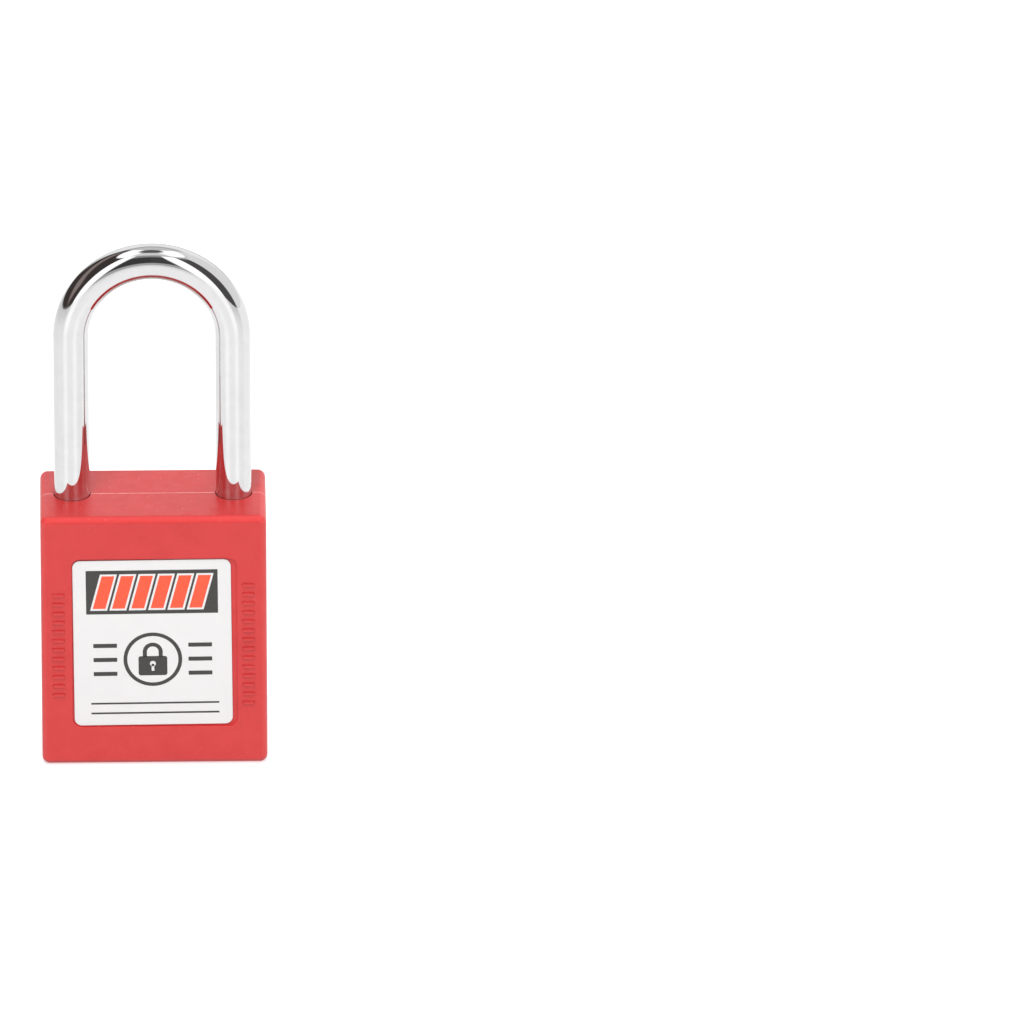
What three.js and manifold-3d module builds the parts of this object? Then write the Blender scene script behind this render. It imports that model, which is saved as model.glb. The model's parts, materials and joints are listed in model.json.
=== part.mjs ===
// Safety padlock: a moulded nylon body in two halves, a steel shackle and a five-pin cylinder.
// Millimetres, +Z up. The body stands on z = 0 and is centred on x = y = 0. The label faces -Y.
// At rest the padlock is closed and locked: the bolt sits in the notch of the toe leg (+X),
// and the pins stand at the shear line, as the right key holds them.
import * as THREE from 'three';
import { mergeVertices } from 'three/addons/utils/BufferGeometryUtils.js';
import Module from 'manifold-3d';

const wasm = await Module();
wasm.setup();

// ---- driving dimensions ----
const body = { width: 38, depth: 20.6, height: 45.6, cornerRadius: 1.3, edgeRadius: 1.2 };
const wall = { side: 2, floor: 2, roof: 2.4 };
const recess = { width: 27.8, height: 31, radius: 1.4, depth: 0.45, x: 0.1, z: 22.5 };
const label = { width: 26.7, height: 30.5, radius: 1.3, thickness: 0.2, x: -0.26, tiltDegrees: 0.41 };
const rib = { width: 2.1, height: 0.6, relief: 0.25, leftX: -16.1, rightX: 15.9, leftCount: 12,
  rightCount: 14, pitch: 1.675, midZ: 22.2 };
const spigot = { radius: 0.9, bossRadius: 2.2, length: 4, clearance: 0.1 };
const spigotPlaces = [[-8.3, 6], [-8.3, 24], [15.1, 3.5], [15.1, 26.6]];

const shackle = { radius: 3, legX: 13.6, bendZ: 74.6, toeTipZ: 33.2, heelTipZ: 15.2, chamfer: 0.8 };
const heelNeck = { radius: 1.8, bottomZ: 17.4, topZ: 32.8 };
const lift = 12.8;
const legHole = { roofRadius: 3.2, blockRadius: 3.15, toeFloorZ: 32.4 };
const heelChamber = { radius: 3.45, floorZ: 3 };
const retainingPin = { radius: 1, length: 12.6, x: -10.6, z: 31.5 };

const block = { width: 34, depth: 13, bottomZ: 29.6, topZ: body.height - wall.roof, clearance: 0.15 };
const plate = { width: 19.6, thickness: 1.6, depth: 12.6, seatClearance: 0.1 };
const screw = { x: 8, y: 5, shankRadius: 0.9, headRadius: 1.5, headHeight: 0.7, length: 5 };

const bolt = { leftX: -4.4, tipX: 11.85, width: 7, bottomZ: 38, topZ: 41.4, clearance: 0.1 };
const cam = { radius: 5, bottomZ: 30.9, topZ: 37.7, lugRadius: 1.3, lugOrbit: 3.6, lugTopZ: 41.3 };
const camChamber = { radius: 5.2, floorZ: 30.8 };
const boltTravel = 2 * cam.lugOrbit * Math.SQRT1_2;

const housing = { radius: 6.4, neckRadius: 5.85, bottomZ: 0.8, shoulderZ: 2.05, topZ: 27.9 };
const bible = { outerX: 13.4, halfWidth: 2.6, bottomZ: 5.8, topZ: 23.8 };
const plug = { radius: 4.4, headRadius: 4.9, headTopZ: 1.7, tailRadius: 3, tailTopZ: 33.6,
  flatHalf: 1.5, flatsFromZ: 30.6 };
const plugClearance = 0.1;
const clip = { innerRadius: 2.65, outerRadius: 5.2, bottomZ: 27.95, topZ: 28.65, mouthDegrees: 50 };
const keyway = { halfWidth: 0.9, leftX: -3.9, rightX: 3.2, topZ: 24 };
const cover = { thickness: 0.8 };

const chamber = { radius: 1.25, firstZ: 8, pitch: 3.4, plugFloorX: -0.3 };
const pin = { radius: 1.15, tipRadius: 0.45, tipLength: 0.6, keyPinEndX: 4.2, driverStartX: 4.5,
  driverLength: 3.6 };
const keyPinLengths = [2.9, 2.3, 3.3, 2.6, 3.1];

// ---- materials ----
const material = (color, roughness, metalness) =>
  new THREE.MeshStandardMaterial({ color, roughness, metalness });
const redNylon = material(0xdb3b3c, 0.42, 0);
const whiteVinyl = material(0xf2f2f0, 0.38, 0);
const chrome = material(0xd9dcdf, 0.08, 1);
const springSteel = material(0xa7abb0, 0.3, 1);
const zinc = material(0x9fa3a6, 0.45, 1);
const steel = material(0x8f9397, 0.35, 1);
const brass = material(0xc9a45c, 0.28, 1);

// ---- shared shapes ----

// Turns a geometry into a solid that can be joined and cut.
function solid(geometry) {
  const bare = geometry.clone();
  bare.deleteAttribute('normal');
  bare.deleteAttribute('uv');
  const merged = mergeVertices(bare, 1e-4);
  return new wasm.Manifold(new wasm.Mesh({
    numProp: 3,
    vertProperties: new Float32Array(merged.attributes.position.array),
    triVerts: new Uint32Array(merged.index.array),
  }));
}

function geometryOf(manifold) {
  const mesh = manifold.getMesh();
  const geometry = new THREE.BufferGeometry();
  geometry.setAttribute('position', new THREE.BufferAttribute(mesh.vertProperties, 3));
  geometry.setIndex(new THREE.BufferAttribute(mesh.triVerts, 1));
  geometry.computeVertexNormals();
  return geometry;
}

function named(name, geometry, finish, x = 0, y = 0, z = 0) {
  const mesh = new THREE.Mesh(geometry, finish);
  mesh.name = name;
  mesh.position.set(x, y, z);
  return mesh;
}

// A box between two corners.
function boxBetween(low, high) {
  const size = low.map((value, axis) => high[axis] - value);
  const geometry = new THREE.BoxGeometry(...size);
  geometry.translate(...low.map((value, axis) => (value + high[axis]) / 2));
  return solid(geometry);
}

// A body turned about a vertical axis, from [radius, z] points that start and end on the axis.
function turned(profile, segments = 24) {
  const points = profile.map(([radius, z]) => new THREE.Vector2(radius, z));
  return new THREE.LatheGeometry(points, segments).rotateX(Math.PI / 2);
}

function upright(radius, bottomZ, topZ, x = 0, y = 0, segments = 24) {
  const profile = [[0, bottomZ], [radius, bottomZ], [radius, topZ], [0, topZ]];
  return solid(turned(profile, segments).translate(x, y, 0));
}

// A round bar along X from startX to endX, at height z.
function alongX(radius, startX, endX, z, segments = 12) {
  const profile = [[0, startX], [radius, startX], [radius, endX], [0, endX]];
  return solid(turned(profile, segments).rotateY(Math.PI / 2).translate(0, 0, z));
}

// A round bar along Y from startY to endY, at x and z.
function alongY(radius, startY, endY, x, z, segments = 16) {
  const profile = [[0, -endY], [radius, -endY], [radius, -startY], [0, -startY]];
  return solid(turned(profile, segments).rotateX(Math.PI / 2).translate(x, 0, z));
}

function roundedOutline(width, height, radius) {
  const x = width / 2;
  const y = height / 2;
  const shape = new THREE.Shape();
  shape.moveTo(-x + radius, -y);
  shape.lineTo(x - radius, -y);
  shape.absarc(x - radius, -y + radius, radius, -Math.PI / 2, 0);
  shape.absarc(x - radius, y - radius, radius, 0, Math.PI / 2);
  shape.absarc(-x + radius, y - radius, radius, Math.PI / 2, Math.PI);
  shape.absarc(-x + radius, -y + radius, radius, Math.PI, 1.5 * Math.PI);
  return shape;
}

// A flat plate with round corners that stands upright, its outer face at y = 0 and its back at
// y = thickness, centred on x = z = 0.
function standingPlate(width, height, radius, thickness) {
  const settings = { depth: thickness, bevelEnabled: false, curveSegments: 4 };
  const plateShape = new THREE.ExtrudeGeometry(roundedOutline(width, height, radius), settings);
  return plateShape.rotateX(Math.PI / 2).translate(0, thickness, 0);
}

class Helix extends THREE.Curve {
  constructor(radius, height, turns) {
    super();
    Object.assign(this, { radius, height, turns });
  }

  getPoint(t) {
    const angle = 2 * Math.PI * this.turns * t;
    const across = Math.cos(angle) * this.radius;
    return new THREE.Vector3(across, Math.sin(angle) * this.radius, this.height * t);
  }
}

// The round section of a wire or a bar.
function roundSection(radius, sides) {
  const corners = Array.from({ length: sides }, (_, index) => {
    const angle = (2 * Math.PI * index) / sides;
    return new THREE.Vector2(radius * Math.cos(angle), radius * Math.sin(angle));
  });
  return new THREE.Shape(corners);
}

// A coil spring that stands on z = 0.
function coilSpring({ radius, wireRadius, length, turns, stepsPerTurn, sides }) {
  const section = roundSection(wireRadius, sides);
  const extrudePath = new Helix(radius, length - 2 * wireRadius, turns);
  const steps = turns * stepsPerTurn;
  const coil = new THREE.ExtrudeGeometry(section, { steps, bevelEnabled: false, extrudePath });
  return coil.translate(0, 0, wireRadius);
}

// ---- body halves and labels ----

// The whole outside of the body, with every long edge rounded.
function bodyBlank() {
  const outline = roundedOutline(body.width, body.height, body.cornerRadius);
  const bar = new THREE.ExtrudeGeometry(outline, {
    depth: body.depth - 2 * body.edgeRadius, curveSegments: 4, bevelEnabled: true,
    bevelSegments: 4, bevelSize: body.edgeRadius, bevelOffset: -body.edgeRadius,
    bevelThickness: body.edgeRadius,
  });
  bar.rotateX(Math.PI / 2);
  return solid(bar.translate(0, body.depth / 2 - body.edgeRadius, body.height / 2));
}

// Everything that the front half has and that the rear half mirrors, for y from -depth / 2 to 0.
function frontHalf() {
  const innerX = body.width / 2 - wall.side;
  const innerY = -body.depth / 2 + wall.side;
  const shelfZ = block.bottomZ - 0.2;
  const cavity = boxBetween([-innerX, innerY, wall.floor], [innerX, 1, shelfZ - 2]);
  const sleeves = upright(housing.radius + 1.6, wall.floor - 0.5, shelfZ, 0, 0, 32)
    .add(upright(heelChamber.radius + 1.5, wall.floor - 0.5, shelfZ, -shackle.legX, 0));
  const sleeveTrim = boxBetween([-innerX - 0.5, innerY - 0.5, 0], [innerX + 0.5, 0, body.height]);
  let half = bodyBlank().subtract(cavity).add(sleeves.intersect(sleeveTrim));
  for (const [x, z] of spigotPlaces) half = half.add(alongY(spigot.bossRadius, innerY, 0, x, z));
  half = half.intersect(boxBetween([-30, -30, 0], [30, 0, 60]));
  return half.subtract(pockets()).subtract(labelRecess()).add(markRibs());
}

// The spaces that hold the latch block, the cylinder, the heel leg and its spring.
function pockets() {
  const play = block.clearance;
  const x = block.width / 2 + play;
  const y = block.depth / 2 + play;
  const bibleY = bible.halfWidth + 0.3;
  const bibleX = bible.outerX + cover.thickness + 0.3;
  return boxBetween([-x, -y, block.bottomZ - 0.2], [x, y, block.topZ])
    .add(upright(housing.radius + 0.1, wall.floor, block.bottomZ, 0, 0, 32))
    .add(upright(housing.neckRadius + 0.1, -1, wall.floor + 0.5, 0, 0, 32))
    .add(boxBetween([0, -bibleY, bible.bottomZ - 0.3], [bibleX, bibleY, bible.topZ + 0.3]))
    .add(upright(heelChamber.radius, heelChamber.floorZ, block.bottomZ, -shackle.legX))
    .add(upright(legHole.roofRadius, block.topZ - 1, body.height + 1, -shackle.legX))
    .add(upright(legHole.roofRadius, block.topZ - 1, body.height + 1, shackle.legX));
}

function labelRecess() {
  const cutter = standingPlate(recess.width, recess.height, recess.radius, recess.depth + 1);
  return solid(cutter.translate(recess.x, -body.depth / 2 - 1, recess.z));
}

// Two columns of small raised ribs beside the label.
function markRibs() {
  const columns = [[rib.leftX, rib.leftCount], [rib.rightX, rib.rightCount]];
  const frontY = -body.depth / 2;
  let ribs = null;
  for (const [x, count] of columns) {
    for (let index = 0; index < count; index += 1) {
      const z = rib.midZ + (index - (count - 1) / 2) * rib.pitch;
      const low = [x - rib.width / 2, frontY - rib.relief, z - rib.height / 2];
      const high = [x + rib.width / 2, frontY + 0.3, z + rib.height / 2];
      const bar = boxBetween(low, high);
      ribs = ribs ? ribs.add(bar) : bar;
    }
  }
  return ribs;
}

function spigots(radius, length) {
  return spigotPlaces
    .map(([x, z]) => alongY(radius, -1, length, x, z))
    .reduce((all, one) => all.add(one));
}

function frontShell() {
  return named('front_shell', geometryOf(frontHalf().add(spigots(spigot.radius, spigot.length))),
    redNylon);
}

function rearShell() {
  const sockets = spigots(spigot.radius + spigot.clearance, spigot.length + 0.3);
  const half = frontHalf().mirror([0, 1, 0]).subtract(sockets);
  return named('rear_shell', geometryOf(half), redNylon);
}

function labels() {
  const outerY = body.depth / 2 - recess.depth + label.thickness;
  const sheet = standingPlate(label.width, label.height, label.radius, label.thickness);
  const front = named('front_label', sheet, whiteVinyl, label.x, -outerY, recess.z);
  front.rotation.y = -THREE.MathUtils.degToRad(label.tiltDegrees);
  const back = named('rear_label', sheet.clone(), whiteVinyl, recess.x, outerY, recess.z);
  back.rotation.z = Math.PI;
  return [front, back];
}

// ---- shackle, its spring and the pin that keeps it in the body ----

// The half circle that joins the two legs, from the heel (-X) over to the toe (+X).
class ShackleBend extends THREE.Curve {
  getPoint(t) {
    const angle = Math.PI * t;
    const x = -shackle.legX * Math.cos(angle);
    return new THREE.Vector3(x, 0, shackle.bendZ + shackle.legX * Math.sin(angle));
  }

  getTangent(t) {
    return new THREE.Vector3(Math.sin(Math.PI * t), 0, Math.cos(Math.PI * t));
  }
}

function shackleBend() {
  const section = roundSection(shackle.radius, 24);
  const settings = { steps: 20, bevelEnabled: false, extrudePath: new ShackleBend() };
  return solid(new THREE.ExtrudeGeometry(section, settings));
}

function heelLeg() {
  const { radius, chamfer, heelTipZ } = shackle;
  const profile = [
    [0, heelTipZ], [radius - chamfer / 2, heelTipZ], [radius, heelTipZ + chamfer / 2],
    [radius, heelNeck.bottomZ], [heelNeck.radius, heelNeck.bottomZ],
    [heelNeck.radius, heelNeck.topZ], [radius, heelNeck.topZ],
    [radius, shackle.bendZ], [0, shackle.bendZ],
  ];
  return solid(turned(profile).translate(-shackle.legX, 0, 0));
}

// The toe leg has a notch on its inner side. A ramp below the notch lets the bolt draw out
// while the shackle rises.
function toeLeg() {
  const { radius, chamfer, toeTipZ, legX } = shackle;
  const profile = [
    [0, toeTipZ], [radius - chamfer, toeTipZ], [radius, toeTipZ + chamfer],
    [radius, shackle.bendZ], [0, shackle.bendZ],
  ];
  const notchX = bolt.tipX + bolt.clearance;
  const bottomZ = bolt.bottomZ - 0.2;
  const topZ = bolt.topZ + 0.4;
  const outsideX = legX - radius - 1;
  const rampSlope = lift / boltTravel;
  const side = new THREE.Shape();
  side.moveTo(outsideX, topZ);
  side.lineTo(notchX, topZ);
  side.lineTo(notchX, bottomZ);
  side.lineTo(outsideX, bottomZ - rampSlope * (notchX - outsideX));
  const notch = new THREE.ExtrudeGeometry(side, { depth: 8, bevelEnabled: false });
  notch.rotateX(Math.PI / 2).translate(0, 4, 0);
  return solid(turned(profile).translate(legX, 0, 0)).subtract(solid(notch));
}

function shackleBar() {
  return named('shackle', geometryOf(heelLeg().add(shackleBend()).add(toeLeg())), chrome);
}

function shackleSpring() {
  const bottomZ = heelChamber.floorZ + 0.05;
  const coil = coilSpring({
    radius: 2.4, wireRadius: 0.4, length: shackle.heelTipZ - bottomZ - 0.05,
    turns: 6, stepsPerTurn: 10, sides: 6,
  });
  return named('shackle_spring', coil, springSteel, -shackle.legX, 0, bottomZ);
}

function heelRetainingPin() {
  const { radius, length, x, z } = retainingPin;
  const bar = alongY(radius, -length / 2, length / 2, 0, 0);
  return named('heel_retaining_pin', geometryOf(bar), steel, x, 0, z);
}

// ---- latch: the block that guides the legs and the bolt, with its cover ----

function latchBlock() {
  const x = block.width / 2;
  const y = block.depth / 2;
  const seatX = plate.width / 2 + plate.seatClearance;
  const seatZ = block.topZ - plate.thickness;
  const play = bolt.clearance;
  const channelY = bolt.width / 2 + play;
  const legRadius = legHole.blockRadius;
  const channelLow = [bolt.leftX - boltTravel - 0.3, -channelY, bolt.bottomZ - play];
  const holes = upright(legRadius, block.bottomZ - 1, block.topZ + 1, -shackle.legX)
    .add(upright(legRadius, legHole.toeFloorZ, block.topZ + 1, shackle.legX))
    .add(upright(camChamber.radius, camChamber.floorZ, seatZ + 0.1, 0, 0, 32))
    .add(upright(plug.tailRadius + 0.3, block.bottomZ - 1, camChamber.floorZ + 0.1))
    .add(boxBetween(channelLow, [bolt.tipX + 0.15, channelY, seatZ + 0.1]))
    .add(boxBetween([-seatX, -y - 1, seatZ], [seatX, y + 1, block.topZ + 1]))
    .add(alongY(retainingPin.radius + 0.05, -y - 1, y + 1, retainingPin.x, retainingPin.z));
  const casting = boxBetween([-x, -y, block.bottomZ], [x, y, block.topZ]).subtract(holes);
  return named('latch_block', geometryOf(casting.subtract(screwSpace(0.05, seatZ))), zinc);
}

// The two screw holes, [x, y] for each.
const screwPlaces = [[-screw.x, screw.y], [screw.x, -screw.y]];

function screwProfile(play) {
  const headBottom = -screw.headHeight - play;
  return [
    [0, -screw.length - play], [screw.shankRadius + play, -screw.length - play],
    [screw.shankRadius + play, headBottom], [screw.headRadius + play, headBottom],
    [screw.headRadius + play, 0], [0, 0],
  ];
}

function screwSpace(play, topZ) {
  return screwPlaces
    .map(([x, y]) => upright(screw.shankRadius + play, topZ - screw.length, topZ + 3, x, y, 16))
    .reduce((all, one) => all.add(one));
}

function boltCoverPlate() {
  const x = plate.width / 2;
  const y = plate.depth / 2;
  const bottomZ = block.topZ - plate.thickness;
  let sheet = boxBetween([-x, -y, bottomZ], [x, y, block.topZ]).subtract(screwSpace(0.1, bottomZ));
  for (const [screwX, screwY] of screwPlaces) {
    const sinkZ = block.topZ - screw.headHeight - 0.15;
    const sink = upright(screw.headRadius + 0.1, sinkZ, block.topZ + 1, screwX, screwY, 16);
    sheet = sheet.subtract(sink);
  }
  return named('bolt_cover_plate', geometryOf(sheet), steel);
}

function coverScrews() {
  return screwPlaces.map(([x, y], index) => named(`cover_screw_${index + 1}`,
    turned(screwProfile(0), 16), steel, x, y, block.topZ - 0.1));
}

// ---- bolt and cam ----

function lockingBolt() {
  const y = bolt.width / 2;
  const lugX = cam.lugOrbit * Math.SQRT1_2;
  const slotHalf = cam.lugRadius + 0.15;
  const slotLow = [lugX - slotHalf, lugX - cam.lugRadius - 0.25, bolt.bottomZ - 1];
  const bar = boxBetween([bolt.leftX, -y, bolt.bottomZ], [bolt.tipX, y, bolt.topZ])
    .subtract(boxBetween(slotLow, [lugX + slotHalf, y + 1, bolt.topZ + 1]));
  return named('locking_bolt', geometryOf(bar), steel);
}

// The cam's lug stands at 45 degrees at rest and draws the bolt back as it turns to 135 degrees.
function lockingCam() {
  const lugXY = cam.lugOrbit * Math.SQRT1_2;
  const slotX = plug.tailRadius + 0.1;
  const slotY = plug.flatHalf + 0.1;
  const slot = boxBetween([-slotX, -slotY, cam.bottomZ - 1], [slotX, slotY, plug.tailTopZ + 0.4]);
  const disc = upright(cam.radius, cam.bottomZ, cam.topZ, 0, 0, 32).subtract(slot)
    .add(upright(cam.lugRadius, cam.topZ - 0.5, cam.lugTopZ, lugXY, lugXY, 16));
  return named('locking_cam', geometryOf(disc), zinc);
}

// ---- cylinder ----

const chamberHeights = keyPinLengths.map((length, index) => chamber.firstZ + index * chamber.pitch);

function chamberHoles(startX, endX) {
  return chamberHeights
    .map((z) => alongX(chamber.radius, startX, endX, z))
    .reduce((all, one) => all.add(one));
}

function cylinderHousing() {
  const boreRadius = plug.radius + plugClearance;
  const headBore = plug.headRadius + plugClearance;
  const barrel = turned([
    [0, housing.bottomZ], [housing.neckRadius, housing.bottomZ],
    [housing.neckRadius, housing.shoulderZ], [housing.radius, housing.shoulderZ],
    [housing.radius, housing.topZ], [0, housing.topZ],
  ], 32);
  const bibleLow = [3, -bible.halfWidth, bible.bottomZ];
  const shape = solid(barrel)
    .add(boxBetween(bibleLow, [bible.outerX, bible.halfWidth, bible.topZ]))
    .subtract(upright(boreRadius, housing.bottomZ - 1, housing.topZ + 1, 0, 0, 32))
    .subtract(upright(headBore, housing.bottomZ - 1, plug.headTopZ + 0.05, 0, 0, 32))
    .subtract(chamberHoles(3, bible.outerX + 1));
  return named('cylinder_housing', geometryOf(shape), brass);
}

function lockPlug() {
  const barrel = turned([
    [0, housing.bottomZ], [plug.headRadius, housing.bottomZ], [plug.headRadius, plug.headTopZ],
    [plug.radius, plug.headTopZ], [plug.radius, housing.topZ],
    [clip.innerRadius - 0.05, housing.topZ], [clip.innerRadius - 0.05, clip.topZ + 0.05],
    [plug.tailRadius, clip.topZ + 0.05], [plug.tailRadius, plug.tailTopZ], [0, plug.tailTopZ],
  ], 32);
  const slot = boxBetween([keyway.leftX, -keyway.halfWidth, housing.bottomZ - 1],
    [keyway.rightX, keyway.halfWidth, keyway.topZ]);
  const flat = (side) => boxBetween(
    [-5, side > 0 ? plug.flatHalf : -5, plug.flatsFromZ],
    [5, side > 0 ? 5 : -plug.flatHalf, plug.tailTopZ + 1]);
  const shape = solid(barrel).subtract(slot).subtract(flat(1)).subtract(flat(-1))
    .subtract(chamberHoles(chamber.plugFloorX, plug.radius + 1));
  return named('plug', geometryOf(shape), brass);
}

// An open ring that keeps the plug from sliding out of the housing.
function plugClip() {
  const start = THREE.MathUtils.degToRad(clip.mouthDegrees / 2);
  const end = 2 * Math.PI - start;
  const ring = new THREE.Shape();
  ring.absarc(0, 0, clip.outerRadius, start, end);
  ring.absarc(0, 0, clip.innerRadius, end, start, true);
  const settings = { depth: clip.topZ - clip.bottomZ, bevelEnabled: false, curveSegments: 14 };
  return named('plug_clip', new THREE.ExtrudeGeometry(ring, settings), springSteel,
    0, 0, clip.bottomZ);
}

function chamberCover() {
  const low = [bible.outerX, -bible.halfWidth, bible.bottomZ];
  const high = [bible.outerX + cover.thickness, bible.halfWidth, bible.topZ];
  return named('chamber_cover', geometryOf(boxBetween(low, high)), brass);
}

// One stack in each chamber: key pin, driver pin and spring, all along X.
function pinStack(length, index) {
  const z = chamberHeights[index];
  const number = index + 1;
  const tipX = pin.keyPinEndX - length;
  const keyPin = turned([
    [0, 0], [pin.tipRadius, 0], [pin.radius, pin.tipLength], [pin.radius, length], [0, length],
  ], 12).rotateY(Math.PI / 2);
  const driver = turned([
    [0, 0], [pin.radius, 0], [pin.radius, pin.driverLength], [0, pin.driverLength],
  ], 12).rotateY(Math.PI / 2);
  const springX = pin.driverStartX + pin.driverLength + 0.05;
  const spring = coilSpring({
    radius: 0.85, wireRadius: 0.15, length: bible.outerX - springX - 0.05,
    turns: 5, stepsPerTurn: 7, sides: 4,
  }).rotateY(Math.PI / 2);
  return [
    named(`key_pin_${number}`, keyPin, brass, tipX, 0, z),
    named(`driver_pin_${number}`, driver, steel, pin.driverStartX, 0, z),
    named(`pin_spring_${number}`, spring, springSteel, springX, 0, z),
  ];
}

const padlock = new THREE.Group();
padlock.add(frontShell(), rearShell(), ...labels());
padlock.add(shackleBar(), shackleSpring(), heelRetainingPin());
padlock.add(latchBlock(), boltCoverPlate(), ...coverScrews(), lockingBolt(), lockingCam());
padlock.add(cylinderHousing(), lockPlug(), plugClip(), chamberCover());
keyPinLengths.forEach((length, index) => padlock.add(...pinStack(length, index)));

export default padlock;
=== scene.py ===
"""Safety padlock: the finished look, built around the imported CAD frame.

Metres, +Z up. The front label faces -Y."""
import json
import math

import bmesh
import bpy
from mathutils import Matrix, Vector


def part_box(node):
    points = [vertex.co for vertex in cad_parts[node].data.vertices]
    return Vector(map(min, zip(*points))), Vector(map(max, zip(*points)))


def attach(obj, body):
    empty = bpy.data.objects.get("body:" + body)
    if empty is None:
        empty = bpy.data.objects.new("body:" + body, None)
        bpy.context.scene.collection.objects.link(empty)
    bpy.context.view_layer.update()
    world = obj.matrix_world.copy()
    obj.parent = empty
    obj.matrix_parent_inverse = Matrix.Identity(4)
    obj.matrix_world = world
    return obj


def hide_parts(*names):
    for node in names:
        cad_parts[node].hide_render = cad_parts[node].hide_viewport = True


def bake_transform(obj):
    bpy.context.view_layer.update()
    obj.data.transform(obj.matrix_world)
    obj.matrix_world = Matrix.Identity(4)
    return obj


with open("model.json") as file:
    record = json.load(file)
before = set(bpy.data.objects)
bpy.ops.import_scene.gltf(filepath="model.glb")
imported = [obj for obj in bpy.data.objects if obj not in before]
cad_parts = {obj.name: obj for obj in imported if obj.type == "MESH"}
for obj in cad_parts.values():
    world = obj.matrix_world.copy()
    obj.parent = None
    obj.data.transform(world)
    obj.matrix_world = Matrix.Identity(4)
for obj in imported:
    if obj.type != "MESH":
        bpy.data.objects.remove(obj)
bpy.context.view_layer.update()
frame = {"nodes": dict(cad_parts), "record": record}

MM = 0.001
QUARTER_TURN = math.pi / 2

# ---- sizes taken from the frame, and those that the finished pieces share ----
front_low, front_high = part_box("front_shell")
rear_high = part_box("rear_shell")[1]
label_low, label_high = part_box("front_label")
rear_label_low, rear_label_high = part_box("rear_label")
shackle_low, shackle_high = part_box("shackle")
block_low, block_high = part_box("latch_block")
housing_low, housing_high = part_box("cylinder_housing")
plug_low, plug_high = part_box("plug")
cover_low, cover_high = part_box("chamber_cover")

RIB_RELIEF = 0.25 * MM
WIDTH = front_high.x - front_low.x
HEIGHT = front_high.z
DEPTH = 2 * (rear_high.y - RIB_RELIEF)
EDGE_RADIUS = 1.2 * MM
CORNER_RADIUS = 1.3 * MM

BAR_RADIUS = shackle_high.y
LEG_X = shackle_high.x - BAR_RADIUS
BEND_Z = shackle_high.z - BAR_RADIUS - LEG_X
HEEL_TIP_Z = shackle_low.z
TOE_ABOVE_HEEL = 18 * MM
TOE_TIP_Z = HEEL_TIP_Z + TOE_ABOVE_HEEL

LABEL_THICKNESS = label_high.y - label_low.y
RECESS_DEPTH = label_high.y + DEPTH / 2
LABEL_CENTRE = (label_low + label_high) / 2
REAR_LABEL_CENTRE = (rear_label_low + rear_label_high) / 2
LABEL_WIDTH, LABEL_HEIGHT, LABEL_RADIUS = 26.7 * MM, 30.5 * MM, 1.3 * MM
LABEL_TILT = math.radians(0.41)
RECESS_WIDTH, RECESS_HEIGHT, RECESS_RADIUS = 27.8 * MM, 31 * MM, 1.4 * MM
RECESS_CENTRE = REAR_LABEL_CENTRE


# ---- outlines and mesh tools ----

SMALLEST_RADIUS = 0.02 * MM
WELD = 1e-7  # points closer than this become one
CIRCLE_POINTS = 96


def quarter_turn(steps, first=0):
    """(1 - cosine, 1 - sine) at the steps of a quarter turn, the measures for rounding an edge."""
    angles = [QUARTER_TURN * step / steps for step in range(first, steps + 1)]
    return [(1 - math.cos(angle), 1 - math.sin(angle)) for angle in angles]


def circle(radius, centre=(0, 0), count=48):
    """Points of a circle, anticlockwise."""
    angles = [2 * math.pi * index / count for index in range(count)]
    return [(centre[0] + radius * math.cos(a), centre[1] + radius * math.sin(a)) for a in angles]


def rounded_rectangle(width, height, radius, steps=6, centre=(0.0, 0.0)):
    """Points of a rounded rectangle, anticlockwise, the same number for any size."""
    radius = max(min(radius, width / 2, height / 2), SMALLEST_RADIUS)
    corners = [(1, -1, -90), (1, 1, 0), (-1, 1, 90), (-1, -1, 180)]
    points = []
    for side_x, side_y, start in corners:
        middle_x = side_x * (width / 2 - radius)
        middle_y = side_y * (height / 2 - radius)
        for step in range(steps + 1):
            angle = math.radians(start + 90 * step / steps)
            points.append((centre[0] + middle_x + radius * math.cos(angle),
                           centre[1] + middle_y + radius * math.sin(angle)))
    return points


def loft(name, rings, closed=False):
    """A skin over rings of equal length, with flat ends, or joined end to start when closed."""
    mesh = bpy.data.meshes.new(name)
    bm = bmesh.new()
    layers = [[bm.verts.new(point) for point in ring] for ring in rings]
    count = len(layers[0])
    pairs = list(zip(layers, layers[1:]))
    if closed:
        pairs.append((layers[-1], layers[0]))
    for lower, upper in pairs:
        for index in range(count):
            after = (index + 1) % count
            bm.faces.new((lower[index], lower[after], upper[after], upper[index]))
    if not closed:
        bm.faces.new(list(reversed(layers[0])))
        bm.faces.new(layers[-1])
    bmesh.ops.remove_doubles(bm, verts=bm.verts, dist=WELD)
    bmesh.ops.recalc_face_normals(bm, faces=bm.faces)
    bm.to_mesh(mesh)
    bm.free()
    piece = bpy.data.objects.new(name, mesh)
    bpy.context.scene.collection.objects.link(piece)
    return piece


def lathe(name, profile, segments=CIRCLE_POINTS, centre=(0.0, 0.0), closed=False):
    """A body turned about a vertical axis from (radius, z) points, or a tube when closed."""
    rings = [[(x, y, z) for x, y in circle(radius, centre, segments)] for radius, z in profile]
    return loft(name, rings, closed)


def block(name, low, high):
    """A box between two corners."""
    outline = [(low[0], low[1]), (high[0], low[1]), (high[0], high[1]), (low[0], high[1])]
    return loft(name, [[(x, y, z) for x, y in outline] for z in (low[2], high[2])])


def combine(piece, others, operation="DIFFERENCE"):
    """Cuts the others from piece, or joins them to it, and removes them."""
    for other in others:
        change = piece.modifiers.new("change", "BOOLEAN")
        change.operation = operation
        change.solver = "EXACT"
        change.object = other
    settle(piece)
    for other in others:
        discard(other)
    return piece


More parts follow.
